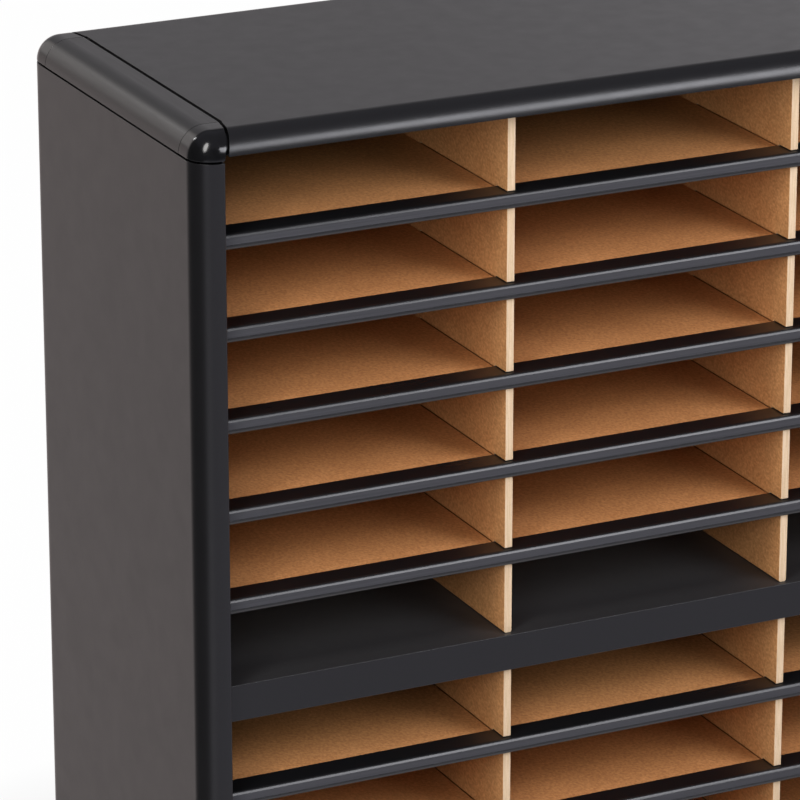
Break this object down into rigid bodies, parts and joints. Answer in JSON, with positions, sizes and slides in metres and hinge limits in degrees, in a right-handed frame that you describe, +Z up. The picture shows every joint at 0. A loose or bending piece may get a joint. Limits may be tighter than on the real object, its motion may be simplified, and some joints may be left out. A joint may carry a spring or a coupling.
{
  "type": "compartment organizer",
  "caption": "Charcoal steel literature organizer with rounded edges, fibreboard shelves on lapped dividers and dark label mouldings, for sorting letter-size paper.",
  "frame": {"origin": "middle of the underside of the case, on the floor", "axes": "+X to the right seen from the front, +Y to the back, +Z up; the open front faces -Y"},
  "size_m": [0.819, 0.343, 0.965],
  "materials": {
    "powder_coat": "satin charcoal powder coat",
    "cap_plastic": "glossy black moulded plastic",
    "moulding_plastic": "semi-gloss black extruded plastic",
    "fibreboard": "bare medium fibreboard with fine flecks",
    "back_board": "bare fibreboard",
    "zinc_hardware": "zinc plated"
  },
  "bodies": {
    "case": {"back_corner_cap_left": "cap_plastic", "back_corner_cap_right": "cap_plastic", "back_panel": "back_board", "back_screws": "zinc_hardware", "base_floor": "powder_coat", "base_floor_screws": "zinc_hardware", "divider_lower_left": "fibreboard", "divider_lower_right": "fibreboard", "divider_upper_left": "fibreboard", "divider_upper_right": "fibreboard", "front_corner_cap_left": "cap_plastic", "front_corner_cap_right": "cap_plastic", "inner_wall_left": "powder_coat", "inner_wall_right": "powder_coat", "middle_floor": "powder_coat", "middle_floor_screws": "zinc_hardware", "rail_screws": "zinc_hardware", "shelf_clips_left": "zinc_hardware", "shelf_clips_right": "zinc_hardware", "side_panel_left": "powder_coat", "side_panel_right": "powder_coat", "top_panel": "powder_coat", "top_rail_left": "powder_coat", "top_rail_right": "powder_coat"},
    "shelf_upper_1": {"shelf_upper_1": "fibreboard", "label_moulding_upper_1": "moulding_plastic"},
    "shelf_upper_2": {"shelf_upper_2": "fibreboard", "label_moulding_upper_2": "moulding_plastic"},
    "shelf_upper_3": {"shelf_upper_3": "fibreboard", "label_moulding_upper_3": "moulding_plastic"},
    "shelf_upper_4": {"shelf_upper_4": "fibreboard", "label_moulding_upper_4": "moulding_plastic"},
    "shelf_upper_5": {"shelf_upper_5": "fibreboard", "label_moulding_upper_5": "moulding_plastic"},
    "shelf_lower_1": {"shelf_lower_1": "fibreboard", "label_moulding_lower_1": "moulding_plastic"},
    "shelf_lower_2": {"shelf_lower_2": "fibreboard", "label_moulding_lower_2": "moulding_plastic"},
    "shelf_lower_3": {"shelf_lower_3": "fibreboard", "label_moulding_lower_3": "moulding_plastic"},
    "shelf_lower_4": {"shelf_lower_4": "fibreboard", "label_moulding_lower_4": "moulding_plastic"},
    "shelf_lower_5": {"shelf_lower_5": "fibreboard", "label_moulding_lower_5": "moulding_plastic"}
  },
  "joints": [
    {"name": "slide_upper_1", "type": "slide", "parent": "case", "child": "shelf_upper_1", "axis": [0, -1, 0], "range_m": [0, 0.15]},
    {"name": "slide_upper_2", "type": "slide", "parent": "case", "child": "shelf_upper_2", "axis": [0, -1, 0], "range_m": [0, 0.15]},
    {"name": "slide_upper_3", "type": "slide", "parent": "case", "child": "shelf_upper_3", "axis": [0, -1, 0], "range_m": [0, 0.15]},
    {"name": "slide_upper_4", "type": "slide", "parent": "case", "child": "shelf_upper_4", "axis": [0, -1, 0], "range_m": [0, 0.15]},
    {"name": "slide_upper_5", "type": "slide", "parent": "case", "child": "shelf_upper_5", "axis": [0, -1, 0], "range_m": [0, 0.15]},
    {"name": "slide_lower_1", "type": "slide", "parent": "case", "child": "shelf_lower_1", "axis": [0, -1, 0], "range_m": [0, 0.15]},
    {"name": "slide_lower_2", "type": "slide", "parent": "case", "child": "shelf_lower_2", "axis": [0, -1, 0], "range_m": [0, 0.15]},
    {"name": "slide_lower_3", "type": "slide", "parent": "case", "child": "shelf_lower_3", "axis": [0, -1, 0], "range_m": [0, 0.15]},
    {"name": "slide_lower_4", "type": "slide", "parent": "case", "child": "shelf_lower_4", "axis": [0, -1, 0], "range_m": [0, 0.15]},
    {"name": "slide_lower_5", "type": "slide", "parent": "case", "child": "shelf_lower_5", "axis": [0, -1, 0], "range_m": [0, 0.15]}
  ]
}
